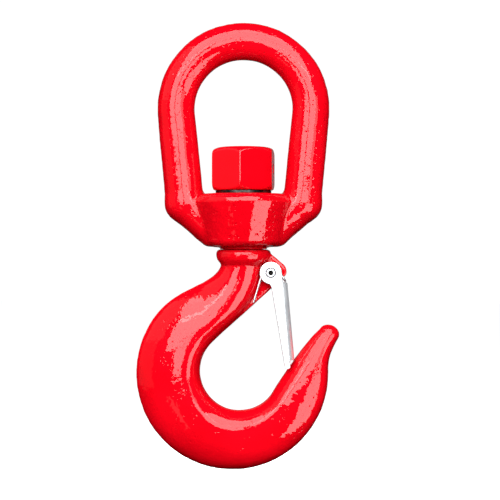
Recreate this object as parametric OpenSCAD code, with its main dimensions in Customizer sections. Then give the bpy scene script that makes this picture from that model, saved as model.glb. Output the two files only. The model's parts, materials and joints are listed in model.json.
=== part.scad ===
// Swivel lifting hook with a sprung safety latch.
// Millimetres, +Z up. The origin is the bail's inner top, where the load ring bears.
// The bail, the hook and the latch all lie in the XZ plane, and Y is the thickness.

/* [Bail] */
// Diameter of the round bail stock
bail_stock = 16.4; // [14:0.5:18]
// Clear width between the bail's legs at the arch
bail_width = 43.5; // [40:1:50]
// Radius of a leg at its root, where the forging is fuller
leg_root_r = 8.5; // [8:0.1:9]
// Radius of the shoulder where it runs into the boss
shoulder_r = 9.2; // [8.5:0.1:10]
// How far the legs lean in towards the boss, in degrees
leg_lean = 5.5; // [4:0.1:7]
// Depth from the seat down to the corner where a leg turns in
corner_depth = 63.6; // [60:0.5:66]
// Slope of the bail's shoulder under that corner, in degrees
shoulder_slope = 39; // [34:1:44]

/* [Boss] */
// Depth from the seat down to the boss's top face
boss_depth = 59.6; // [57:0.1:62]
// Height of the boss
boss_h = 24.5; // [22:0.1:26]
// Radius of the boss just under its rounded top edge
boss_top_r = 22.4; // [20:0.1:24]
// Radius of the boss just above its rounded lower edge
boss_low_r = 17.5; // [16:0.1:19]
// Radius of the low hub under the boss, where the collar bears
hub_r = 10.5; // [10.2:0.1:11]
// Clearance round the shank in the boss's bore
bore_gap = 0.35; // [0.3:0.05:0.5]

/* [Swivel] */
// Diameter of the hook's shank
shank_d = 16; // [15:0.5:17]
// Thickness of the thrust washer
washer_t = 1.5; // [1:0.1:2]
// Radius of the thrust washer
washer_r = 12.4; // [11:0.1:13]
// Width of the nut across its flats
nut_af = 26.6; // [26:0.1:28]
// Height of the nut
nut_h = 19.3; // [17:0.1:21]
// Turn of the nut's corners on the shank, in degrees
nut_turn = 24.25; // [0:0.25:59]
// Up and down play of the hook in the bail
end_play = 0.2; // [0.2:0.1:1]
// Diameter of the nut's slotted spring pin
lock_pin_d = 4; // [3:0.5:4]

/* [Hook] */
// Radius of the thrust collar under the bail
collar_r = 12.2; // [11.8:0.1:12.5]
// Radius of the round neck
neck_r = 9.7; // [9:0.1:10]
// Radius of the bowl, where a sling bears
bowl_r = 17.5; // [17:0.1:19]
// Depth from the seat down to the bowl's centre
bowl_depth = 138.2; // [137:0.1:140]
// Radius of the hook's back
back_r = 42.65; // [41:0.05:43]
// Largest thickness of the hook
hook_t = 21; // [19:0.5:23]
// How far the fullest line of the hook lies out from its inner line
crest = 6.6; // [6:0.1:8]
// Thickness of the hook at its point
point_t = 9.4; // [8:0.2:11]

/* [Latch] */
// Across from the shank's axis to the latch pin
pivot_x = 12.06; // [12:0.01:12.2]
// Depth from the seat down to the latch pin
pivot_depth = 94.6; // [94.5:0.1:94.8]
// Diameter of the latch pin
latch_pin_d = 4; // [3.5:0.1:4]
// Thickness of the lug that carries the latch
lug_t = 7; // [6:0.5:7.5]
// Gauge of the latch's pressed sheet
sheet_t = 1.2; // [1:0.1:1.3]
// Width inside the latch's channel
latch_w = 13; // [12.8:0.1:13.4]
// Length of the latch from its pin to the end of its side plates
latch_l = 42.8; // [42:0.1:43]
// Radius of the latch's round head
head_r = 4.9; // [4.7:0.1:5]
// Diameter of the spring wire
wire_d = 1; // [0.8:0.1:1.1]

/* [Hidden] */
$fn = 64;
STEEL = "lightgrey";
PAINT = "crimson";
leg_r = bail_stock / 2;
arch_r = (bail_width + bail_stock) / 2;
arch_z = -bail_width / 2;
leg_top = [arch_r * cos(leg_lean), arch_z - arch_r * sin(leg_lean)];
leg_corner = [leg_top.x - (leg_top.y + corner_depth) * tan(leg_lean), -corner_depth];
shoulder_run = 19.5;
knuckle_r = leg_root_r + 0.15;

boss_top = -boss_depth;
boss_foot = boss_top - boss_h;
sole_z = boss_foot + 1.3;
bore_r = shank_d / 2 + bore_gap;
nut_foot = boss_top + washer_t;
nut_top = nut_foot + nut_h;
nut_corner_r = nut_af / 2 / cos(30);
shank_top = nut_top - 0.3;
pin_r = lock_pin_d / 2;
pin_z = nut_foot + nut_h / 2;

collar_top = boss_foot - end_play;
neck_z = collar_top - 3.6;
shank_foot = collar_top - 1.6;
bowl_c = [-1.8, -bowl_depth];
back_c = [-5, -bowl_depth - 1.15];
back_start = 140;
throat_start = [-2.6, -115.2];
bowl_end = -36;
back_end = -32.7;
tip_in = [34, -119.6];
tip_out = [42.3, -123.4];
tip_rise = 3.7;

pivot = [pivot_x, -pivot_depth];
latch_lean = -5.24;
web_d = 6.93;
web_s = [5, 39.2];
bend = 3.4;
latch_half = latch_w / 2 + sheet_t;
coil_r = 3.55;
coil_pitch = 1.1;
leg_y = 5.65;
leg_end = 15;
leg_dir = 163.3;

function unit(v) = v / norm(v);
function polar(c, r, a) = c + r * [cos(a), sin(a)];
function bezier(p, t) = pow(1 - t, 3) * p[0] + 3 * t * pow(1 - t, 2) * p[1]
    + 3 * t * t * (1 - t) * p[2] + pow(t, 3) * p[3];
function mix(a, b, t) = a + (b - a) * t;
function ease(t, a, b) = let (u = min(1, max(0, (t - a) / (b - a)))) u * u * (3 - 2 * u);

// Stands a flat shape drawn in X and Z up on its edge, t thick across Y.
module slab(t) {
    rotate([90, 0, 0]) linear_extrude(t, center = true) children();
}

// Skins closed rings of points, each of the same count, into one solid.
module skin(rings) {
    n = len(rings[0]);
    m = len(rings);
    walls = [for (i = [0:m - 2], k = [0:n - 1])
        let (a = i * n + k, b = i * n + (k + 1) % n)
        each [[a, b, b + n], [a, b + n, a + n]]];
    ends = [[for (k = [n - 1:-1:0]) k], [for (k = [0:n - 1]) (m - 1) * n + k]];
    polyhedron([for (r = rings) each r], concat(walls, ends), convexity = 6);
}

// One leg of the bail: down from the arch, round the corner and in to the boss.
// It starts 1 mm inside the arch, and its shoulder is trimmed level with the boss's sole.
module bail_leg() {
    run = (leg_top.y + corner_depth) / cos(leg_lean);
    translate([leg_top.x, 0, leg_top.y]) rotate([0, 180 + leg_lean, 0]) translate([0, 0, -1])
        cylinder(r1 = leg_r - 0.05, r2 = leg_root_r, h = run + 1);
    translate([leg_corner.x, 0, leg_corner.y]) sphere(knuckle_r);
    difference() {
        translate([leg_corner.x, 0, leg_corner.y]) rotate([0, -90 - shoulder_slope, 0])
            cylinder(r1 = leg_root_r, r2 = shoulder_r, h = shoulder_run);
        translate([0, 0, sole_z - 9]) cylinder(r = 2 * boss_top_r, h = 9);
    }
}

// Half section of the boss, turned about the shank's axis.
module boss_section() {
    edge = 4.2;
    foot_round = 3.2;
    foot_z = sole_z + 0.2;
    polygon(concat(
        [[0, boss_foot], [hub_r - 0.4, boss_foot], [hub_r - 0.1, boss_foot + 0.2],
            [hub_r + 0.1, boss_foot + 0.8], [hub_r + 1.1, boss_foot + 1.1]],
        [for (a = [-84:16:-4]) polar([boss_low_r - foot_round, foot_z + foot_round], foot_round, a)],
        [for (a = [8:16:88]) polar([boss_top_r - edge, boss_top - edge], edge, a)],
        [[0, boss_top]]));
}

module bail() {
    color(PAINT) difference() {
        union() {
            translate([0, 0, arch_z]) rotate([90, 0, 0]) rotate([0, 0, -leg_lean])
                rotate_extrude(angle = 180 + 2 * leg_lean) translate([arch_r, 0]) circle(leg_r);
            for (side = [0, 180]) rotate(side) bail_leg();
            rotate_extrude() boss_section();
        }
        translate([0, 0, boss_foot - 1]) cylinder(r = bore_r, h = boss_h + 2);
        translate([0, 0, boss_foot - 0.01]) cylinder(r1 = bore_r + 0.8, r2 = bore_r, h = 0.8);
    }
}

module thrust_washer() {
    color(STEEL) translate([0, 0, boss_top]) difference() {
        cylinder(r = washer_r, h = washer_t);
        translate([0, 0, -1]) cylinder(r = bore_r + 0.1, h = washer_t + 2);
    }
}

// Cuts the cross hole for the spring pin through the nut and the shank.
module cross_hole() {
    translate([0, 0, pin_z]) rotate(nut_turn - 30) rotate([0, 90, 0])
        cylinder(r = pin_r + 0.02, h = 3 * nut_af, center = true);
}

module swivel_nut() {
    crown = [9.9, 2.5];
    foot = [12.6, 2.3];
    rim_r = nut_corner_r + 0.02;
    color(PAINT) difference() {
        intersection() {
            translate([0, 0, nut_foot]) rotate(nut_turn) cylinder(r = nut_corner_r, h = nut_h, $fn = 6);
            rotate_extrude() polygon(concat(
                [[0, nut_foot]],
                [for (t = [0:0.2:1]) [mix(foot[0], rim_r, t), nut_foot + foot[1] * t * t]],
                [for (t = [1:-0.2:0]) [mix(crown[0], rim_r, t), nut_top - crown[1] * t * t]],
                [[0, nut_top]]));
        }
        translate([0, 0, nut_foot - 1]) cylinder(d = shank_d, h = nut_h + 2);
        translate([0, 0, nut_top - 0.8]) cylinder(r1 = shank_d / 2, r2 = shank_d / 2 + 0.9, h = 0.81);
        cross_hole();
    }
}

// A slotted spring pin along Z, about its own middle.
module spring_pin(l) {
    bevel = 0.5;
    difference() {
        rotate_extrude() polygon([[0.62 * pin_r, -l / 2], [pin_r - bevel / 2, -l / 2],
            [pin_r, -l / 2 + bevel], [pin_r, l / 2 - bevel],
            [pin_r - bevel / 2, l / 2], [0.62 * pin_r, l / 2]]);
        translate([0, pin_r, 0]) cube([0.5, 2 * pin_r, l + 2], center = true);
    }
}

module nut_lock_pin() {
    color(STEEL) translate([0, 0, pin_z]) rotate(nut_turn - 30) rotate([0, 90, 0])
        spring_pin(nut_af - 0.8);
}

// One ring round the hook, from its inner line at p to its outer line at q.
// It is egg shaped: a quarter ellipse out to its fullest line, rise from p, then a longer one.
// A square over 2 fills that longer flank out and one under 2 flattens it.
function hook_ring(p, q, half, rise, square = 2) =
    let (w = norm(q - p), d = unit(q - p), steps = 6,
        inner = [for (k = [0:steps]) let (g = 90 * k / steps) [rise * (1 - cos(g)), half * sin(g)]],
        outer = [for (k = [1:steps]) let (g = 90 * k / steps)
            [rise + (w - rise) * pow(sin(g), 2 / square), half * pow(max(0, cos(g)), 2 / square)]],
        front = concat(inner, outer),
        back = [for (k = [len(front) - 2:-1:1]) [front[k].x, -front[k].y]])
    [for (s = concat(front, back)) let (c = p + d * s.x) [c.x, s.y, c.y]];

// The neck's right side turns down into the throat line, which runs to the bowl.
neck_in = [[neck_r, neck_z], [8.6, -99.5], [4.4, -108.8], throat_start];
neck_out = [[-neck_r, neck_z], [-9, -100], [-27.4, -99.6], polar(back_c, back_r, back_start)];
neck_share = 0.64;
throat_mid = [-10, -121.9];
throat_end = polar(bowl_c, bowl_r, 134);
point_in = [polar(bowl_c, bowl_r, bowl_end), [18.7, -138], [28, -124.8], tip_in];
point_out = [polar(back_c, back_r, 0), [37.6, -134], [38, -130.8], tip_out];

function neck_side(t) = t < 0.75 ? bezier(neck_in, t / 0.75) : mix(throat_start, throat_mid, (t - 0.75) * 4);
function back_side(t) = t < 0.3 ? mix(throat_mid, throat_end, t / 0.3)
    : polar(bowl_c, bowl_r, mix(134, 180, (t - 0.3) / 0.7));
function back_line(t) = t < 0.45 ? bezier(neck_out, mix(neck_share, 1, t / 0.45))
    : polar(back_c, back_r, mix(back_start, 180, (t - 0.45) / 0.55));
function point_side(t) = t < 0.45 ? polar(back_c, back_r, mix(back_end, 0, t / 0.45))
    : bezier(point_out, (t - 0.45) / 0.55);

flank = [1.7, 2.5];

hook_rings = concat(
    [for (k = [0:12])
        let (t = k / 12, p = neck_side(t), q = bezier(neck_out, t * neck_share), e = ease(t, 0.1, 1))
        hook_ring(p, q, mix(neck_r, hook_t / 2, e), mix(norm(q - p) / 2, crest, e), mix(2, flank[0], e))],
    [for (k = [1:7]) let (t = k / 7)
        hook_ring(back_side(t), back_line(t), hook_t / 2, crest, flank[0])],
    [for (k = [1:20]) let (t = k / 20)
        hook_ring(polar(bowl_c, bowl_r, mix(180, 360 + bowl_end, t)),
            polar(back_c, back_r, mix(180, 360 + back_end, t)), hook_t / 2,
            crest + 2.6 * pow(sin(180 * t), 2), mix(flank[0], flank[1], ease(t, 0.3, 0.95)))],
    [for (k = [1:12]) let (t = k / 12, p = bezier(point_in, t), q = point_side(t))
        hook_ring(p, q, mix(hook_t, point_t, t) / 2, mix(crest, norm(q - p) / 2, t), mix(flank[1], 2, t))],
    [for (a = [18:18:72]) let (mid = (tip_in + tip_out) / 2, reach = (tip_out - tip_in) / 2,
        up = tip_rise * unit([-reach.y, reach.x]))
        hook_ring(mid + up * sin(a) - reach * cos(a), mid + up * sin(a) + reach * cos(a),
            point_t / 2 * cos(a), norm(reach) * cos(a))]);

module hook_lug() {
    nose = [15, -94.1];
    slab(lug_t) polygon(concat(
        [[0, collar_top - 0.1], [10, collar_top - 0.1]],
        [for (a = [49:-11.5:-20]) polar(nose, 4.15, a)],
        [[12.6, -101.4], [4.8, -108.5], throat_start + [1, 0.94], [-3, -108]]));
}

// Half section of the rounded collar that bears on the boss's hub.
module collar_section() {
    polygon([[0, collar_top - 7.5], [neck_r - 0.4, collar_top - 7.2], [neck_r + 0.5, collar_top - 6.4],
        [collar_r - 1.1, collar_top - 5.4], [collar_r - 0.4, collar_top - 4.4],
        [collar_r - 0.1, collar_top - 3.2], [collar_r, collar_top - 1.9],
        [collar_r - 0.2, collar_top - 1], [collar_r - 0.8, collar_top - 0.3],
        [hub_r - 0.1, collar_top], [0, collar_top]]);
}

module hook() {
    color(PAINT) difference() {
        union() {
            skin(hook_rings);
            hook_lug();
            rotate_extrude() collar_section();
            translate([0, 0, shank_foot]) cylinder(d = shank_d, h = shank_top - 1 - shank_foot);
            translate([0, 0, shank_top - 1]) cylinder(d1 = shank_d, d2 = shank_d - 1.6, h = 0.9);
        }
        cross_hole();
        translate([pivot.x, 0, pivot.y]) rotate([90, 0, 0])
            cylinder(d = latch_pin_d + 0.04, h = 2 * lug_t, center = true);
    }
}

// Across the latch: a channel with rounded bends, open towards the bowl.
module channel_section(grow) {
    half = latch_w / 2 + grow;
    face = web_d - sheet_t + grow;
    round = bend - sheet_t + grow;
    translate([-10, -half]) square([10 + face - round, 2 * half]);
    translate([-10, round - half]) square([10 + face, 2 * (half - round)]);
    for (s = [-1, 1]) translate([face - round, s * (half - round)]) circle(round, $fn = 48);
}

// Side view of the latch's tapering blade, about its pin.
module latch_blade() {
    polygon([[head_r, 0], [head_r, 0.4 - web_s[0]], [head_r + 0.4, -web_s[0]],
        [web_d + 1, -web_s[0]], [web_d + 1, -web_s[1]], [5.2, -web_s[1]], [4.9, -web_s[1] - 0.6],
        [4.85, 0.5 - latch_l], [4.4, -latch_l], [2.9, -latch_l], [2.5, 0.6 - latch_l],
        [-0.14, -6.9], [-0.5, -5.6], [-1.3, -4.7], [0, 0]]);
}

module latch() {
    color(STEEL) translate([pivot.x, 0, pivot.y]) rotate([0, latch_lean, 0]) difference() {
        intersection() {
            translate([0, 0, -latch_l - 1]) linear_extrude(latch_l + head_r + 2) difference() {
                channel_section(sheet_t);
                channel_section(0);
            }
            union() {
                slab(2 * latch_half + 2) circle(head_r);
                slab(2 * latch_half + 2) latch_blade();
            }
        }
        rotate([90, 0, 0]) cylinder(d = latch_pin_d + 0.6, h = 3 * latch_w, center = true);
    }
}

// A headless rivet, drilled at both ends.
module latch_pin() {
    half = latch_half + 0.4;
    r = latch_pin_d / 2;
    color(STEEL) translate([pivot.x, 0, pivot.y]) rotate([90, 0, 0]) difference() {
        rotate_extrude() polygon([[0, -half], [r - 0.3, -half], [r, -half + 0.4],
            [r, half - 0.4], [r - 0.3, half], [0, half]]);
        for (s = [-1, 1]) translate([0, 0, s * half]) cylinder(d = latch_pin_d / 2, h = 8, center = true);
    }
}

// The wire's path on the front side, as rows of [point, sideways direction].
// It runs up the free leg, round the coil about the pin and down the arm to the latch.
function in_plane(p, y) = [p.x, y, p.y];
bridge = pivot + polar([0, 0], 6.1, -latch_lean) + polar([0, 0], 4.2, -latch_lean - 90);
arm_at = let (b = bridge - pivot) atan2(b.y, b.x) + acos(coil_r / norm(b));
coil_turn = leg_dir - arm_at + 360;
arm_y = leg_y - coil_pitch * coil_turn / 360;
arm_run = unit([sin(arm_at), -cos(arm_at)]);
bend_r = 1.2;
spring_front = concat(
    [for (s = [leg_end, leg_end / 2, 0.2])
        [in_plane(polar(polar(pivot, coil_r, leg_dir), s, leg_dir + 90), -leg_y),
            in_plane(polar([0, 0], 1, leg_dir), 0)]],
    [for (k = [1:34]) let (t = k / 34, a = leg_dir - coil_turn * t)
        [in_plane(polar(pivot, coil_r, a), -mix(leg_y, arm_y, t)), in_plane(polar([0, 0], 1, a), 0)]],
    [for (g = [0:30:90]) [in_plane(bridge - arm_run * bend_r * (1 - sin(g)), -arm_y + bend_r * (1 - cos(g))),
        in_plane(polar([0, 0], 1, arm_at), 0)]]);

function wire_ring(rows, i) =
    let (a = rows[max(0, i - 1)][0], b = rows[min(len(rows) - 1, i + 1)][0],
        t = unit(b - a), n = rows[i][1], m = unit(cross(t, n)))
    [for (g = [0:36:324]) rows[i][0] + wire_d / 2 * (cos(g) * n + sin(g) * m)];

module latch_spring() {
    rows = concat(spring_front, [for (k = [len(spring_front) - 1:-1:0]) let (r = spring_front[k])
        [[r[0].x, -r[0].y, r[0].z], r[1]]]);
    color("grey") skin([for (i = [0:len(rows) - 1]) wire_ring(rows, i)]);
}

bail();
thrust_washer();
swivel_nut();
nut_lock_pin();
hook();
latch();
latch_pin();
latch_spring();
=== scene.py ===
import json
import math

import bmesh
import bpy
import numpy as np
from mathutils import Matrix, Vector, noise


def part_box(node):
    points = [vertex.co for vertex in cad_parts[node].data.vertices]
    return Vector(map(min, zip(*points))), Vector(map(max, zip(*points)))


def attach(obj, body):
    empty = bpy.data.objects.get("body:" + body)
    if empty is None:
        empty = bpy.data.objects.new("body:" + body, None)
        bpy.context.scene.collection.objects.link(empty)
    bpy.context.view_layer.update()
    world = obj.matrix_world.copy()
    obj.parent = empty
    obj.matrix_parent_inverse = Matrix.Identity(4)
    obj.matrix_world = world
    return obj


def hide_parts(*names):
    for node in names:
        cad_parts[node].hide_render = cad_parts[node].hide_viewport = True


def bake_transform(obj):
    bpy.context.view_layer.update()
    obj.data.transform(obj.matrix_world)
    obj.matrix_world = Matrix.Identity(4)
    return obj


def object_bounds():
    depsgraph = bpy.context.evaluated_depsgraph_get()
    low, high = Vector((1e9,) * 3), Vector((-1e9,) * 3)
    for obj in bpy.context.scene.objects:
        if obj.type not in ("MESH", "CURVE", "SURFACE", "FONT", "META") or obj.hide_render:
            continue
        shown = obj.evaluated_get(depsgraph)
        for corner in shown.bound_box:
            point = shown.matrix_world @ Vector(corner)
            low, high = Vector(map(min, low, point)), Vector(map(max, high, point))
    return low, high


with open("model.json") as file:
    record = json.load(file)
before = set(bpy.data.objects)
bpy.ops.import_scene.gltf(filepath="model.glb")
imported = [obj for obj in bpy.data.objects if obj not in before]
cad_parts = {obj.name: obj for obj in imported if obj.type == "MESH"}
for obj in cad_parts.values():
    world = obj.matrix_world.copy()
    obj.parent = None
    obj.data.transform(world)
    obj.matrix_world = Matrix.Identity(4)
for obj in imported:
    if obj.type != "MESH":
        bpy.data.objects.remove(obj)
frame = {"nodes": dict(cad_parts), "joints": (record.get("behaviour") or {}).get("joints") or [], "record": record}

MM = 0.001
cad_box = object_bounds()
record = frame["record"]
mounts = {m["name"]: m for m in record["mounts"]}
joints = {j["name"]: j for j in frame["joints"]}


# ---------------------------------------------------------------- sizes, in millimetres

def node_box(node):
    """A CAD node's lowest and highest corners at rest, in millimetres."""
    low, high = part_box(node)
    return np.array(low) / MM, np.array(high) / MM


NUT_FOOT, NUT_TOP = (corner[2] for corner in node_box("swivel_nut"))
PIVOT = np.array(joints["latch_hinge"]["pos_m"]) / MM

# the bail's bow
ARCH_IN = mounts["bail_seat"]["dims"]["r_mm"]
STOCK_R = mounts["bail_seat"]["dims"]["length_mm"] / 2
ARCH_R = ARCH_IN + STOCK_R
ROOT_R = STOCK_R + 0.3
SHOULDER_R = STOCK_R + 1.0
LEG_LEAN = math.radians(5.5)
CORNER_Z = -63.6
SHOULDER_SLOPE = math.radians(39)
SHOULDER_RUN = 19.5

# the bail's boss
BOSS_TOP = joints["hook_swivel"]["pos_m"][2] / MM
BOSS_FOOT = node_box("bail")[0][2]
SOLE_Z = BOSS_FOOT + 1.3
BOSS_TOP_R = 22.4
BOSS_LOW_R = 17.5
BOSS_EDGE = 4.2
BOSS_FOOT_ROUND = 3.2
HUB_R = 10.5
BORE_R = 8.35

# the hook
SHANK_R = 8.0
SHANK_TOP = NUT_TOP - 0.3
COLLAR_TOP = BOSS_FOOT - 0.2
COLLAR_R = 12.2
NECK_R = 9.7
NECK_Z = COLLAR_TOP - 3.6
BOWL_R = mounts["hook_bowl_seat"]["dims"]["r_mm"]
HOOK_T = mounts["hook_bowl_seat"]["dims"]["length_mm"]
POINT_T = 9.4
BACK_R = 42.65
BOWL_C = np.array([-1.8, mounts["hook_bowl_seat"]["pos_m"][2] / MM + BOWL_R])
BACK_C = BOWL_C + [-3.2, -1.15]
LUG_T = 7.0
LUG_NOSE, LUG_NOSE_R = [15, -94.1], 4.15
PIN_R = 2.0
PIN_BORE_R = 1.0

# how far the nut's ends are rounded
CROWN_DEPTH, FOOT_DEPTH = 4.5, 3.5

# the camera, the panels and the floor
EYE = [2.9, -700, -84.5]
FRAME_WIDTH = 222.5
PANEL_DISTANCE = 1000
FLOOR_GAP, FLOOR_HALF = 120, 6000


# ---------------------------------------------------------------- mesh tools

def mesh_piece(name, verts_mm, faces):
    """A new object from points in millimetres."""
    mesh = bpy.data.meshes.new(name)
    mesh.from_pydata((np.asarray(verts_mm) * MM).tolist(), [], faces)
    mesh.update()
    piece = bpy.data.objects.new(name, mesh)
    bpy.context.scene.collection.objects.link(piece)
    return piece


def cad_copy(node, name):
    """A loose copy of a CAD node's mesh, with its corners joined up again."""
    mesh = frame["nodes"][node].data.copy()
    mesh.materials.clear()
    bm = bmesh.new()
    bm.from_mesh(mesh)
    bmesh.ops.remove_doubles(bm, verts=bm.verts, dist=0.002 * MM)
    bm.to_mesh(mesh)
    bm.free()
    piece = bpy.data.objects.new(name, mesh)
    bpy.context.scene.collection.objects.link(piece)
    return piece


def apply_modifiers(piece):
    """Swaps the piece's mesh for what its modifiers make of it."""
    graph = bpy.context.evaluated_depsgraph_get()
    mesh = bpy.data.meshes.new_from_object(piece.evaluated_get(graph))
    piece.modifiers.clear()
    piece.data = mesh
    mesh.name = piece.name


def voxel_remesh(piece, size):
    """Skins the whole piece afresh in even quads of size millimetres."""
    modifier = piece.modifiers.new("remesh", "REMESH")
    modifier.mode = "VOXEL"
    modifier.voxel_size = size * MM
    modifier.use_smooth_shade = True
    apply_modifiers(piece)


def get_points(piece):
    """Where the piece's points are, in millimetres."""
    co = np.empty(len(piece.data.vertices) * 3)
    piece.data.vertices.foreach_get("co", co)
    return co.reshape(-1, 3) / MM


def set_points(piece, points):
    piece.data.vertices.foreach_set("co", (points * MM).ravel())
    piece.data.update()


def get_normals(piece):
    n = np.empty(len(piece.data.vertices) * 3)
    piece.data.vertices.foreach_get("normal", n)
    return n.reshape(-1, 3)


def edge_pairs(piece):
    """The two points of every edge."""
    e = np.empty(len(piece.data.edges) * 2, int)
    piece.data.edges.foreach_get("vertices", e)
    return e.reshape(-1, 2)


def neighbour_mean(values, pairs, count):
    """Each point's mean of its neighbours' values, of which it has count."""
    total = np.zeros_like(values)
    np.add.at(total, pairs[:, 0], values[pairs[:, 1]])
    np.add.at(total, pairs[:, 1], values[pairs[:, 0]])
    return total / np.maximum(count, 1)[:, None]


def relax(piece, rounds, share=0.5):
    """Evens the surface out. share may be one number or one per point."""
    pairs = edge_pairs(piece)
    points = get_points(piece)
    count = np.bincount(pairs.ravel(), minlength=len(points))
    weight = np.broadcast_to(np.asarray(share, float), len(points))[:, None]
    for _ in range(rounds):
        points += (neighbour_mean(points, pairs, count) - points) * weight
    set_points(piece, points)


def noise_field(points, size, seed):
    """Smooth noise from -1 to 1, with features of size millimetres."""
    offset = Vector((seed * 7.31, seed * 3.17, seed * 5.77))
    return np.array([noise.noise(Vector(p) + offset) for p in (points / size).tolist()])


def mark_edges(piece, reach=3):
    """Stores how far each point stands out (above 0.5) or in (below it), which the materials turn into painted
    shade in hollows and painted highlight on ridges.
    """
    pairs = edge_pairs(piece)
    points = get_points(piece)
    count = np.bincount(pairs.ravel(), minlength=len(points))
    lap = neighbour_mean(points, pairs, count) - points
    bulge = -(lap * get_normals(piece)).sum(1)[:, None]
    for _ in range(reach):
        bulge = 0.5 * bulge + 0.5 * neighbour_mean(bulge, pairs, count)
    attribute = piece.data.attributes.new("edge", "FLOAT", "POINT")
    attribute.data.foreach_set("value", np.clip(0.5 + bulge[:, 0] * 25, 0, 1).astype(np.float32))


def forge_surface(piece, wave=0.1, seed=1, rougher=None):
    """The slight waves and hollows that a drop forging keeps under its paint.

    rougher gives the share by which each point is marked more than the rest.
    """
    points = get_points(piece)
    normals = get_normals(piece)
    if rougher is not None:
        wave = wave * (1 + rougher(points))
    lift = wave * noise_field(points, 10, seed)
    lift += 0.55 * wave * noise_field(points, 4.5, seed + 1)
    lift += 0.16 * wave * noise_field(points, 1.8, seed + 3)
    pits = np.clip(noise_field(points, 2.4, seed + 2) - 0.40, 0, 1)
    lift -= wave * pits
    set_points(piece, points + normals * lift[:, None])


def keep_inside(piece, node):
    """Holds the piece to the CAD node's box, which the forging marks may pass by a hair."""
    low, high = node_box(node)
    set_points(piece, np.clip(get_points(piece), low + 0.002, high - 0.002))


def smooth_shade(piece):
    piece.data.polygons.foreach_set("use_smooth", [True] * len(piece.data.polygons))


# ---------------------------------------------------------------- distance to simple solids

FAR = 99.0


def round_union(a, b, r):
    """Joins two solids with a fillet of radius r."""
    u = np.hypot(np.maximum(r - a, 0), np.maximum(r - b, 0))
    return np.maximum(r, np.minimum(a, b)) - u


def round_overlap(a, b, r):
    """Where two solids overlap, with the edge rounded to radius r."""
    u = np.hypot(np.maximum(r + a, 0), np.maximum(r + b, 0))
    return np.minimum(-r, np.maximum(a, b)) + u


def rod(p, a, b, ra, rb):
    """Distance to a round-ended rod from a to b, whose radius runs from ra to rb."""
    axis = b - a
    t = np.clip(((p - a) @ axis) / (axis @ axis), 0, 1)
    return np.linalg.norm(p - (a + t[:, None] * axis), axis=1) - (ra + (rb - ra) * t)


def turned(p, profile):
    """Distance to a solid turned about Z, from its closed outline of radius and height."""
    q = np.stack([np.hypot(p[:, 0], p[:, 1]), p[:, 2]], 1)
    near, side = np.full(len(q), 1e9), np.ones(len(q))
    for a, b in zip(profile, np.roll(profile, -1, axis=0)):
        e, w = b - a, q - a
        t = np.clip((w @ e) / (e @ e), 0, 1)
        near = np.minimum(near, ((w - t[:, None] * e) ** 2).sum(1))
        spans = (a[1] <= q[:, 1]) != (b[1] <= q[:, 1])
        side[spans & ((e[0] * w[:, 1] > e[1] * w[:, 0]) == (e[1] > 0))] *= -1
    return side * np.sqrt(near)


def project(piece, distance, rounds=4):
    """Moves every point of the piece on to the surface where distance is 0."""
    points = get_points(piece)
    step = 0.02
    for _ in range(rounds):
        d = distance(points)
        slope = np.stack([(distance(points + step * e) - distance(points - step * e)) / (2 * step)
                          for e in np.eye(3)], 1)
        size = np.maximum((slope ** 2).sum(1), 0.25)
        points -= np.clip(d / size, -0.6, 0.6)[:, None] * slope
    set_points(piece, points)


# ---------------------------------------------------------------- the bail

def polar(centre, r, degrees):
    """The point at distance r from centre, at an angle from the first axis."""
    a = math.radians(degrees)
    return np.asarray(centre, float) + r * np.array([math.cos(a), math.sin(a)])


boss_sole_z = SOLE_Z + 0.2
boss_profile = np.array(
    [[0, BOSS_FOOT], [HUB_R - 0.4, BOSS_FOOT], [HUB_R - 0.1, BOSS_FOOT + 0.2],
     [HUB_R + 0.1, BOSS_FOOT + 0.8], [HUB_R + 1.1, BOSS_FOOT + 1.1]]
    + [polar([BOSS_LOW_R - BOSS_FOOT_ROUND, boss_sole_z + BOSS_FOOT_ROUND], BOSS_FOOT_ROUND, a)
       for a in range(-84, 0, 8)]
    + [polar([BOSS_TOP_R - BOSS_EDGE, BOSS_TOP - BOSS_EDGE], BOSS_EDGE, a) for a in range(8, 90, 8)]
    + [[0, BOSS_TOP]])


def bail_distance(p):
    """Distance to the bail: an arch, two legs, two shoulders and the bored boss, filleted."""
    q = np.abs(p * [1, 0, 0]) + p * [0, 1, 1]
    arch_z = -ARCH_IN
    top = np.array([ARCH_R * math.cos(LEG_LEAN), 0, arch_z - ARCH_R * math.sin(LEG_LEAN)])
    corner = np.array([top[0] - (top[2] - CORNER_Z) * math.tan(LEG_LEAN), 0, CORNER_Z])
    inner = corner - SHOULDER_RUN * np.array([math.cos(SHOULDER_SLOPE), 0, math.sin(SHOULDER_SLOPE)])
    arch = np.hypot(np.hypot(q[:, 0], q[:, 2] - arch_z) - ARCH_R, q[:, 1]) - STOCK_R
    in_arch = q[:, 2] - arch_z > -q[:, 0] * math.tan(LEG_LEAN)
    arch = np.where(in_arch, arch, FAR)
    leg = np.minimum(arch, rod(q, top, corner, STOCK_R, ROOT_R))
    shoulder = round_overlap(rod(q, corner, inner, ROOT_R, SHOULDER_R), SOLE_Z - q[:, 2], 1.2)
    limb = round_union(leg, shoulder, 1.5)
    boss = np.full(len(p), FAR)
    near = p[:, 2] < BOSS_TOP + 4
    boss[near] = turned(p[near], boss_profile)
    body = round_union(limb, boss, 0.9)
    bore = np.minimum(BORE_R - np.hypot(p[:, 0], p[:, 1]), BOSS_TOP + 6 - p[:, 2])
    return round_overlap(body, bore, 0.5)


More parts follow.
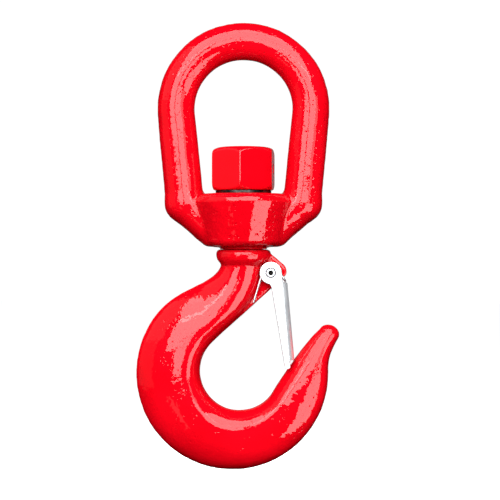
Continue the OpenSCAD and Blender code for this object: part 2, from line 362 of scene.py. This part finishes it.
def parting_line(piece, outward, height=0.22, width=0.55, seed=5):
    """The trimmed flash of the forging, along the middle plane of its outer side."""
    points = get_points(piece)
    normals = get_normals(piece)
    facing = np.clip((normals * outward(points)).sum(1), 0, 1) ** 2
    drift = 0.25 * noise_field(points * [1, 0, 1], 14, seed)
    uneven = 0.7 + 0.5 * noise_field(points, 2.2, seed + 1)
    ridge = height * np.exp(-((points[:, 1] - drift) / width) ** 2) * facing * uneven
    set_points(piece, points + normals * ridge[:, None])


def from_centre(centre):
    """Directions away from a line along Y through centre, for parting_line."""
    def outward(points):
        d = (points - centre) * [1, 0, 1]
        return d / np.maximum(np.linalg.norm(d, axis=1), 1e-6)[:, None]
    return outward


def boss_side(points):
    """1.6 on the boss's cone, where the dies leave it lumpy, and 0 on the rest of the bail."""
    r = np.hypot(points[:, 0], points[:, 1])
    depth = np.minimum(BOSS_TOP - 1 - points[:, 2], points[:, 2] - SOLE_Z)
    return 1.6 * np.clip(depth, 0, 1) * np.clip(r - 14, 0, 1) * np.clip((24 - r) / 2, 0, 1)


def build_bail():
    piece = cad_copy("bail", "bail_forging")
    voxel_remesh(piece, 0.38)
    relax(piece, 4)
    project(piece, bail_distance)
    relax(piece, 1, 0.3)
    mark_edges(piece)
    parting_line(piece, from_centre(np.array([0, 0, -ARCH_IN])))
    forge_surface(piece, seed=1, rougher=boss_side)
    keep_inside(piece, "bail")
    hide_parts("bail")
    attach(piece, "bail_body")
    return piece


# ---------------------------------------------------------------- the hook

def bezier(controls, t):
    """The point at t, from 0 to 1, of a curve with four control points."""
    shares = [(1 - t) ** 3, 3 * t * (1 - t) ** 2, 3 * t * t * (1 - t), t ** 3]
    return sum(share * np.asarray(point, float) for share, point in zip(shares, controls))


def mix(a, b, t):
    return np.asarray(a, float) * (1 - t) + np.asarray(b, float) * t


def hook_ring(p, q, half, crest, square=2.0, steps=18):
    """One egg-shaped ring round the hook, from its inner line at p to its outer line at q.

    half is the largest half thickness and crest says how far from p it lies. A square over 2
    fills out the flank between the crest and q, and one under 2 hollows it.
    """
    w = np.linalg.norm(q - p)
    d = (q - p) / w
    turn = np.linspace(0, math.pi / 2, steps + 1)
    inner = np.stack([crest * (1 - np.cos(turn)), half * np.sin(turn)], 1)
    c, f = np.cos(turn[::-1]) ** (2 / square), np.sin(turn[::-1]) ** (2 / square)
    outer = np.stack([crest + (w - crest) * c, half * f], 1)
    outer[-1, 1] = 0
    front = np.concatenate([inner, outer[1:]])
    s = np.concatenate([front, front[-2:0:-1] * [1, -1]])
    return np.stack([p[0] + d[0] * s[:, 0], s[:, 1], p[1] + d[1] * s[:, 0]], 1)


def smooth_step(x, low, high):
    """Runs from 0 at low to 1 at high, level at both ends."""
    t = min(1, max(0, (x - low) / (high - low)))
    return t * t * (3 - 2 * t)


def hook_rings():
    """The rings of the forging, down the neck, round the bowl and up to the point."""
    throat_start, throat_mid = np.array([-2.6, -115.2]), np.array([-10, -121.9])
    throat_end = polar(BOWL_C, BOWL_R, 134)
    back_start, bowl_end, back_end, neck_share = 140, -36, -32.7, 0.64
    tip_in, tip_out, tip_rise = np.array([34, -119.6]), np.array([42.3, -123.4]), 3.7
    neck_in = [[NECK_R, NECK_Z], [8.6, -99.5], [4.4, -108.8], throat_start]
    neck_out = [[-NECK_R, NECK_Z], [-9, -100], [-27.4, -99.6], polar(BACK_C, BACK_R, back_start)]
    point_in = [polar(BOWL_C, BOWL_R, bowl_end), [18.7, -138], [28, -124.8], tip_in]
    point_out = [polar(BACK_C, BACK_R, 0), [37.6, -134], [38, -130.8], tip_out]
    half, crest = HOOK_T / 2, 6.6
    hollow, full = 1.7, 2.5
    rings = []
    for t in np.linspace(0, 1, 60):
        p = bezier(neck_in, t / 0.75) if t < 0.75 else mix(throat_start, throat_mid, (t - 0.75) * 4)
        q = bezier(neck_out, t * neck_share)
        ease = smooth_step(t, 0.1, 1)
        w = np.linalg.norm(q - p)
        rings.append(hook_ring(p, q, NECK_R + (half - NECK_R) * ease,
                               w / 2 + (crest - w / 2) * ease, 2 + (hollow - 2) * ease))
    for t in np.linspace(0, 1, 36)[1:]:
        p = mix(throat_mid, throat_end, t / 0.3) if t < 0.3 else polar(
            BOWL_C, BOWL_R, 134 + (t - 0.3) / 0.7 * 46)
        q = bezier(neck_out, neck_share + t / 0.45 * (1 - neck_share)) if t < 0.45 else polar(
            BACK_C, BACK_R, back_start + (t - 0.45) / 0.55 * (180 - back_start))
        rings.append(hook_ring(p, q, half, crest, hollow))
    for t in np.linspace(0, 1, 96)[1:]:
        low = crest + 2.6 * math.sin(math.pi * t) ** 2
        square = hollow + (full - hollow) * smooth_step(t, 0.3, 0.95)
        rings.append(hook_ring(polar(BOWL_C, BOWL_R, 180 + t * (180 + bowl_end)),
                               polar(BACK_C, BACK_R, 180 + t * (180 + back_end)), half, low, square))
    for t in np.linspace(0, 1, 56)[1:]:
        q = polar(BACK_C, BACK_R, back_end * (1 - t / 0.45)) if t < 0.45 else bezier(
            point_out, (t - 0.45) / 0.55)
        p = bezier(point_in, t)
        w = np.linalg.norm(q - p)
        rings.append(hook_ring(p, q, half + (POINT_T / 2 - half) * t,
                               crest + (w / 2 - crest) * t, full + (2 - full) * t))
    middle, reach = (tip_in + tip_out) / 2, (tip_out - tip_in) / 2
    up = tip_rise * np.array([-reach[1], reach[0]]) / np.linalg.norm(reach)
    for a in np.radians(np.linspace(6, 87, 14)):
        p = middle + up * math.sin(a) - reach * math.cos(a)
        q = middle + up * math.sin(a) + reach * math.cos(a)
        rings.append(hook_ring(p, q, POINT_T / 2 * math.cos(a), np.linalg.norm(q - p) / 2))
    return rings


def skin(name, rings):
    """One closed solid through rings of the same number of points."""
    n, m = len(rings[0]), len(rings)
    faces = [[i * n + k, i * n + (k + 1) % n, (i + 1) * n + (k + 1) % n, (i + 1) * n + k]
             for i in range(m - 1) for k in range(n)]
    faces += [list(range(n))[::-1], [(m - 1) * n + k for k in range(n)]]
    piece = mesh_piece(name, np.concatenate(rings), faces)
    return tidy_normals(piece)


def tidy_normals(piece):
    """Turns every face of the piece outwards."""
    bm = bmesh.new()
    bm.from_mesh(piece.data)
    bmesh.ops.recalc_face_normals(bm, faces=bm.faces)
    bm.to_mesh(piece.data)
    bm.free()
    return piece


def lathe(name, profile, segments=128):
    """Turns (radius, height) points about Z, closed with a flat face at both ends."""
    angles = np.linspace(0, 2 * math.pi, segments, endpoint=False)
    rings = [np.stack([r * np.cos(angles), r * np.sin(angles), np.full(segments, z)], 1)
             for r, z in profile]
    return skin(name, rings)


def slab(name, outline, thickness, bevel):
    """A plate of an X, Z outline, thickness across Y, with its long edges rounded."""
    n = len(outline)
    half = thickness / 2
    verts = [[x, y, z] for y in (-half, half) for x, z in outline]
    faces = [list(range(n)), list(range(n, 2 * n))[::-1]]
    faces += [[k, (k + 1) % n, n + (k + 1) % n, n + k] for k in range(n)]
    piece = tidy_normals(mesh_piece(name, verts, faces))
    modifier = piece.modifiers.new("bevel", "BEVEL")
    modifier.width = bevel * MM
    modifier.segments = 4
    modifier.limit_method = "ANGLE"
    modifier.angle_limit = math.radians(60)
    apply_modifiers(piece)
    return piece


def cut(piece, cutter):
    """Takes cutter out of the piece, and deletes cutter."""
    modifier = piece.modifiers.new("cut", "BOOLEAN")
    modifier.operation = "DIFFERENCE"
    modifier.solver = "EXACT"
    modifier.object = cutter
    apply_modifiers(piece)
    bpy.data.objects.remove(cutter)


def across_rod(name, centre, r, length):
    """A cylinder along Y, centred on centre, in millimetres."""
    angles = np.linspace(0, 2 * math.pi, 48, endpoint=False)
    x, z = centre[0] + r * np.cos(angles), centre[2] + r * np.sin(angles)
    rings = [np.stack([x, np.full_like(x, y), z], 1) for y in (-length / 2, length / 2)]
    return skin(name, rings)


def join(name, pieces):
    """One object from several, which are deleted."""
    bm = bmesh.new()
    for piece in pieces:
        bm.from_mesh(piece.data)
        bpy.data.objects.remove(piece)
    mesh = bpy.data.meshes.new(name)
    bm.to_mesh(mesh)
    bm.free()
    joined = bpy.data.objects.new(name, mesh)
    bpy.context.scene.collection.objects.link(joined)
    return joined


def on_lug(points):
    """Which points lie beyond the neck, at the latch lug's height."""
    return (points[:, 0] > 10) & (points[:, 2] > -101) & (points[:, 2] < COLLAR_TOP)


def lug_sides(points):
    """Makes the machined sides of the latch lug smoother than the forging round them."""
    return -0.9 * ((np.abs(points[:, 1]) < LUG_T / 2 + 0.6) & on_lug(points))


def build_hook():
    lug_outline = [[0, COLLAR_TOP - 0.1], [10, COLLAR_TOP - 0.1]] + [
        polar(LUG_NOSE, LUG_NOSE_R, 49 - 6.9 * k) for k in range(11)] + [
        [12.6, -101.4], [4.8, -108.5], [-1.6, -114.26], [-3, -108]]
    lug = slab("lug", lug_outline, LUG_T, 0.6)
    cut(lug, across_rod("lug_cutter", PIVOT, PIN_R, 3 * LUG_T))
    top = COLLAR_TOP
    collar = lathe("collar", [
        (NECK_R - 0.4, top - 7.2), (NECK_R + 0.5, top - 6.4), (COLLAR_R - 1.1, top - 5.4),
        (COLLAR_R - 0.4, top - 4.4), (COLLAR_R - 0.1, top - 3.2), (COLLAR_R, top - 1.9),
        (COLLAR_R - 0.2, top - 1), (COLLAR_R - 0.8, top - 0.3), (HUB_R - 0.1, top),
        (SHANK_R + 0.4, top), (SHANK_R, top + 0.4), (SHANK_R, SHANK_TOP - 0.9),
        (SHANK_R - 0.8, SHANK_TOP)])
    piece = join("hook_forging", [skin("body", hook_rings()), lug, collar])
    voxel_remesh(piece, 0.4)
    relax(piece, 3)
    points = get_points(piece)
    relax(piece, 3, 0.5 * ~on_lug(points))
    on_body = points[:, 2] < COLLAR_TOP - 5
    near_lug = np.exp(-((np.abs(points[:, 1]) - LUG_T / 2) / 1.6) ** 2) * (points[:, 0] < 12)
    relax(piece, 18, 0.5 * on_body * np.clip(near_lug, 0, 1))
    mark_edges(piece)
    parting_line(piece, from_centre(np.array([BOWL_C[0], 0, BOWL_C[1]])), height=0.18)
    forge_surface(piece, seed=11, rougher=lug_sides)
    keep_inside(piece, "hook")
    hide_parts("hook")
    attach(piece, "hook_body")
    return piece


# ---------------------------------------------------------------- the small parts

def refined(node, name, body, size, rounds):
    """A CAD node skinned afresh, so that its edges are broken as on the real part."""
    piece = cad_copy(node, name)
    voxel_remesh(piece, size)
    relax(piece, rounds)
    mark_edges(piece, 1)
    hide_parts(node)
    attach(piece, body)
    return piece


def build_nut():
    piece = refined("swivel_nut", "hex_nut", "hook_body", 0.28, 4)
    height = get_points(piece)[:, 2]
    ends = np.maximum(height - NUT_TOP + CROWN_DEPTH, NUT_FOOT + FOOT_DEPTH - height)
    relax(piece, 14, 0.5 * np.clip(ends / 1.5, 0, 1))
    return piece


def build_spring():
    piece = cad_copy("latch_spring", "spring_wire")
    voxel_remesh(piece, 0.13)
    relax(piece, 6)
    mark_edges(piece, 1)
    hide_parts("latch_spring")
    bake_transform(piece)
    return piece


# ---------------------------------------------------------------- materials

class Nodes:
    """A short way to write a node tree."""

    def __init__(self, name):
        self.material = bpy.data.materials.new(name)
        self.material.use_nodes = True
        self.tree = self.material.node_tree
        self.shader = self.tree.nodes["Principled BSDF"]
        self.place = self.add("ShaderNodeTexCoord").outputs["Object"]

    def add(self, kind, **settings):
        node = self.tree.nodes.new(kind)
        for key, value in settings.items():
            setattr(node, key, value)
        return node

    def link(self, source, target):
        self.tree.links.new(source, target)

    def noise(self, size_mm, detail=2.0, place=None):
        node = self.add("ShaderNodeTexNoise")
        node.inputs["Scale"].default_value = 1 / (size_mm * MM)
        node.inputs["Detail"].default_value = detail
        self.link(place or self.place, node.inputs["Vector"])
        return node.outputs["Fac"]

    def cells(self, size_mm):
        """How far each place is from the middle of its cell."""
        node = self.add("ShaderNodeTexVoronoi")
        node.inputs["Scale"].default_value = 1 / (size_mm * MM)
        self.link(self.place, node.inputs["Vector"])
        return node.outputs["Distance"]

    def stretched(self, x, y, z):
        """The place, scaled by x, y and z."""
        node = self.add("ShaderNodeMapping")
        node.inputs["Scale"].default_value = (x, y, z)
        self.link(self.place, node.inputs["Vector"])
        return node.outputs["Vector"]

    def remap(self, source, low, high, to_low=0.0, to_high=1.0):
        node = self.add("ShaderNodeMapRange")
        limits = {"From Min": low, "From Max": high, "To Min": to_low, "To Max": to_high}
        for key, value in limits.items():
            node.inputs[key].default_value = value
        self.link(source, node.inputs["Value"])
        return node.outputs["Result"]

    def math(self, operation, a, b):
        node = self.add("ShaderNodeMath", operation=operation)
        for socket, value in zip(node.inputs, (a, b)):
            if isinstance(value, (int, float)):
                socket.default_value = value
            else:
                self.link(value, socket)
        return node.outputs[0]

    def mix_colour(self, share, a, b):
        node = self.add("ShaderNodeMix", data_type="RGBA")
        for key, value in {"Factor": share, "A": a, "B": b}.items():
            socket = node.inputs[key]
            if isinstance(value, (int, float)):
                socket.default_value = value
            elif isinstance(value, tuple):
                socket.default_value = (*value, 1)
            else:
                self.link(value, socket)
        return node.outputs["Result"]

    def edge(self):
        """What mark_edges stored."""
        return self.add("ShaderNodeAttribute", attribute_name="edge").outputs["Fac"]

    def bump(self, height, depth_mm, under=None):
        node = self.add("ShaderNodeBump")
        node.inputs["Distance"].default_value = depth_mm * MM
        self.link(height, node.inputs["Height"])
        if under is not None:
            self.link(under, node.inputs["Normal"])
        return node.outputs["Normal"]

    def set(self, **values):
        """Sets or links the shader's sockets, by the short names below."""
        names = {"colour": "Base Color", "metallic": "Metallic", "roughness": "Roughness",
                 "coat": "Coat Weight", "coat_roughness": "Coat Roughness", "coat_ior": "Coat IOR",
                 "specular": "Specular IOR Level", "normal": "Normal", "coat_normal": "Coat Normal"}
        for key, value in values.items():
            socket = self.shader.inputs[names[key]]
            if isinstance(value, tuple):
                socket.default_value = (*value, 1)
            elif isinstance(value, (int, float)):
                socket.default_value = value
            else:
                self.link(value, socket)


def red_paint(name, peel_mm, pits=0.0):
    """Gloss red enamel, sprayed over a blasted forging, so the skin has peel.

    pits is the share of the surface, from 0 to 1, that is marked with small pits.
    """
    n = Nodes(name)
    cloud = n.noise(24, detail=3)
    speck = n.noise(1.1, detail=2)
    edge = n.edge()
    colour = n.mix_colour(n.remap(cloud, 0.35, 0.65), (0.56, 0.0006, 0.0050), (0.64, 0.0012, 0.0070))
    colour = n.mix_colour(n.remap(speck, 0.62, 0.8, 0, 0.25), colour, (0.42, 0.0006, 0.0035))
    # painted shade: darker red where the surface turns in, in creases and hollows
    colour = n.mix_colour(n.remap(edge, 0.5, 0.1, 0, 0.5), colour, (0.30, 0.0005, 0.0025))
    # painted highlight: lighter red along the ridges and edges that stand out
    colour = n.mix_colour(n.remap(edge, 0.62, 1.0, 0, 0.35), colour, (0.70, 0.005, 0.010))
    normal = n.bump(n.noise(1.7, detail=1), peel_mm)
    if pits:
        pit = n.remap(n.cells(1.7), 0.0, 0.3)
        rare = n.remap(n.noise(5, detail=1), 0.66 - 0.3 * pits, 0.74 - 0.3 * pits)
        pit = n.math("MAXIMUM", pit, n.math("SUBTRACT", 1.0, rare))
        normal = n.bump(pit, 0.13, under=normal)
    n.set(colour=colour, roughness=n.remap(speck, 0.3, 0.8, 0.42, 0.55), specular=0.0, coat=1.0,
          coat_roughness=0.035, coat_ior=1.5, normal=normal, coat_normal=normal)
    return n.material


def zinc_plate(name, bore_mm=0):
    """Bright zinc, cloudy and finely grained.

    If bore_mm isn't 0, the zinc is painted near-black within that distance of the latch pin's axis, fading out a
    quarter millimetre beyond it: painted shade in the pin's bore.
    """
    n = Nodes(name)
    cloud = n.noise(5, detail=3)
    grain = n.noise(0.22, detail=2, place=n.stretched(1, 1, 0.08))
    edge = n.edge()
    colour = n.mix_colour(cloud, (0.78, 0.82, 0.86), (0.88, 0.91, 0.93))
    # painted shade: darker grey where the surface turns in, in creases and hollows
    colour = n.mix_colour(n.remap(edge, 0.45, 0.2, 0, 0.6), colour, (0.42, 0.42, 0.43))
    if bore_mm:
        across = n.add("ShaderNodeVectorMath", operation="DISTANCE")
        n.link(n.stretched(1, 0, 1), across.inputs[0])
        across.inputs[1].default_value = (PIVOT[0] * MM, 0, PIVOT[2] * MM)
        # painted shade: near-black inside the latch pin's bore and on a thin ring round its mouth
        bore_shade = n.remap(across.outputs["Value"], (bore_mm + 0.25) * MM, (bore_mm + 0.05) * MM)
        colour = n.mix_colour(bore_shade, colour, (0.012, 0.010, 0.009))
    rough = n.math("ADD", n.remap(cloud, 0.3, 0.7, 0.34, 0.44), n.remap(grain, 0.3, 0.7, 0, 0.06))
    n.set(colour=colour, metallic=0.8, roughness=rough, normal=n.bump(grain, 0.004))
    return n.material


def drawn_steel(name, light, dark, rough):
    """Bright steel with fine drawing lines and a thin dark film in places."""
    n = Nodes(name)
    cloud = n.noise(1.8, detail=3)
    line = n.noise(0.12, detail=2)
    colour = n.mix_colour(n.remap(cloud, 0.3, 0.7), dark, light)
    n.set(colour=colour, metallic=1.0, roughness=n.remap(line, 0.3, 0.7, rough, rough + 0.12),
          normal=n.bump(line, 0.004))
    return n.material


# ---------------------------------------------------------------- light, floor and camera

def aimed(obj, at):
    direction = Vector(at) - obj.location
    obj.rotation_euler = direction.to_track_quat("-Z", "Y").to_euler()
    return obj


def panel(name, azimuth, elevation, width, height, radiance, centre):
    """A softbox, given by where it stands round the object and the angles it fills.

    Azimuth 0 is the camera's side and grows to the right, all in degrees.
    """
    distance = PANEL_DISTANCE * MM
    a, e = math.radians(azimuth), math.radians(elevation)
    light = bpy.data.lights.new(name, "AREA")
    light.shape = "RECTANGLE"
    light.size = 2 * distance * math.tan(math.radians(width / 2))
    light.size_y = 2 * distance * math.tan(math.radians(height / 2))
    light.energy = radiance * math.pi * light.size * light.size_y
    obj = bpy.data.objects.new(name, light)
    bpy.context.scene.collection.objects.link(obj)
    obj.location = Vector(centre) + distance * Vector(
        (math.sin(a) * math.cos(e), -math.cos(a) * math.cos(e), math.sin(e)))
    obj.visible_camera = False
    return aimed(obj, centre)


def build_world():
    """White behind the object, for the camera only."""
    world = bpy.data.worlds.new("studio")
    bpy.context.scene.world = world
    world.use_nodes = True
    shade = world.node_tree.nodes["Background"]
    shade.inputs["Color"].default_value = (1, 1, 1, 1)
    shade.inputs["Strength"].default_value = 1.05
    world.cycles_visibility.diffuse = False
    world.cycles_visibility.glossy = False


def build_floor():
    """A pale floor well under the object, which casts no light on it."""
    level = cad_box[0][2] / MM - FLOOR_GAP
    corners = [(FLOOR_HALF * x, FLOOR_HALF * y, level) for x, y in ((-1, -1), (1, -1), (1, 1), (-1, 1))]
    floor = mesh_piece("floor", corners, [(0, 1, 2, 3)])
    n = Nodes("pale_floor")
    n.set(colour=(0.9, 0.9, 0.9), roughness=0.9)
    n.shader.inputs["Emission Color"].default_value = (1, 1, 1, 1)
    n.shader.inputs["Emission Strength"].default_value = 1.0
    floor.data.materials.append(n.material)
    floor.visible_glossy = False
    floor.visible_diffuse = False


def build_lights(centre):
    """Sets up the panels, and gives those meant for the plated and for the forged pieces only."""
    def panels(settings):
        return [panel(*values, centre) for values in settings]

    panels([("top_box", 0, 46, 70, 46, 4.6), ("left_box", -23, 14, 30, 21, 4.8),
            ("left_low", -19, -3, 14, 12, 4.4), ("left_foot", -30, -24, 6, 12, 0.5),
            ("right_box", 14, 13, 35, 21, 4.8)])
    forged_only = panels([("right_low", 44, -20, 38, 36, 4.4), ("right_gap", 38, 7, 12, 16, 2.2)])
    panels([("side_left", -75, 35, 50, 40, 0.4), ("side_low", -80, 0, 50, 30, 0.15),
            ("rear_box", 180, 5, 40, 40, 0.2)])
    fills = panels([("fill_front", -30, 34, 80, 60, 1.6), ("fill_low", 10, -28, 70, 40, 0.1),
                    ("fill_left", -125, 20, 60, 60, 0.9), ("fill_right", 125, 20, 60, 60, 0.7),
                    ("fill_back", 180, 25, 80, 60, 1.5)])
    for fill in fills:
        fill.visible_glossy = False
    plated_only = panels([("metal_box", 4, 4, 60, 50, 1.5), ("metal_side", 100, 5, 80, 60, 0.22)])
    return plated_only, forged_only


def light_only(lights, name, pieces):
    """Keeps the lights to the given pieces."""
    receivers = bpy.data.collections.new(name)
    for piece in pieces:
        receivers.objects.link(piece)
    for light in lights:
        light.light_linking.receiver_collection = receivers


def build_camera():
    """Square to the object's front, and level with the foot of the bail's boss."""
    camera = bpy.data.cameras.new("camera")
    camera.sensor_width = 36
    camera.lens = camera.sensor_width * -EYE[1] / FRAME_WIDTH
    obj = bpy.data.objects.new("camera", camera)
    bpy.context.scene.collection.objects.link(obj)
    obj.location = [v * MM for v in EYE]
    obj.rotation_euler = (math.pi / 2, 0, 0)
    bpy.context.scene.camera = obj


# ---------------------------------------------------------------- put it together

build_camera()
build_world()
build_floor()
plated_lights, forged_lights = build_lights(tuple((Vector(cad_box[0]) + Vector(cad_box[1])) / 2))
bpy.context.scene.view_settings.view_transform = "Standard"

bail_paint = red_paint("red_enamel_bail", 0.06, 0.7)
hook_paint = red_paint("red_enamel_hook", 0.05, 0.35)
nut_paint = red_paint("red_enamel_nut", 0.02)
zinc = zinc_plate("bright_zinc")
pin_zinc = zinc_plate("bright_zinc_pin", PIN_BORE_R)
wire = drawn_steel("spring_steel", (0.80, 0.81, 0.83), (0.55, 0.55, 0.57), 0.2)
steel = drawn_steel("bare_steel", (0.56, 0.55, 0.54), (0.30, 0.29, 0.28), 0.3)
# painted shade: the thrust washer's steel is near-black because it sits in the shaded gap under the nut
washer_shade_steel = drawn_steel("washer_steel_painted_shade", (0.10, 0.09, 0.085), (0.03, 0.027, 0.025), 0.3)

finishes = [
    (build_bail(), bail_paint, "red_paint"),
    (build_hook(), hook_paint, "red_paint"),
    (build_nut(), nut_paint, "red_paint"),
    (refined("thrust_washer", "washer", "washer_body", 0.2, 2), washer_shade_steel, "bare_steel"),
    (refined("nut_lock_pin", "lock_pin", "hook_body", 0.14, 2), steel, "bare_steel"),
    (refined("latch", "latch_sheet", "latch_body", 0.17, 3), zinc, "zinc_plate"),
    (refined("latch_pin", "hinge_pin", "hook_body", 0.12, 2), pin_zinc, "zinc_plate"),
    (build_spring(), wire, "spring_steel"),
]
for piece, material, slot in finishes:
    piece.data.materials.clear()
    piece.data.materials.append(material)
    smooth_shade(piece)
light_only(plated_lights, "plated", [
    piece for piece, material, slot in finishes if slot in ("zinc_plate", "spring_steel")])
light_only(forged_lights, "forged", [
    piece for piece, material, slot in finishes if material in (bail_paint, hook_paint)])
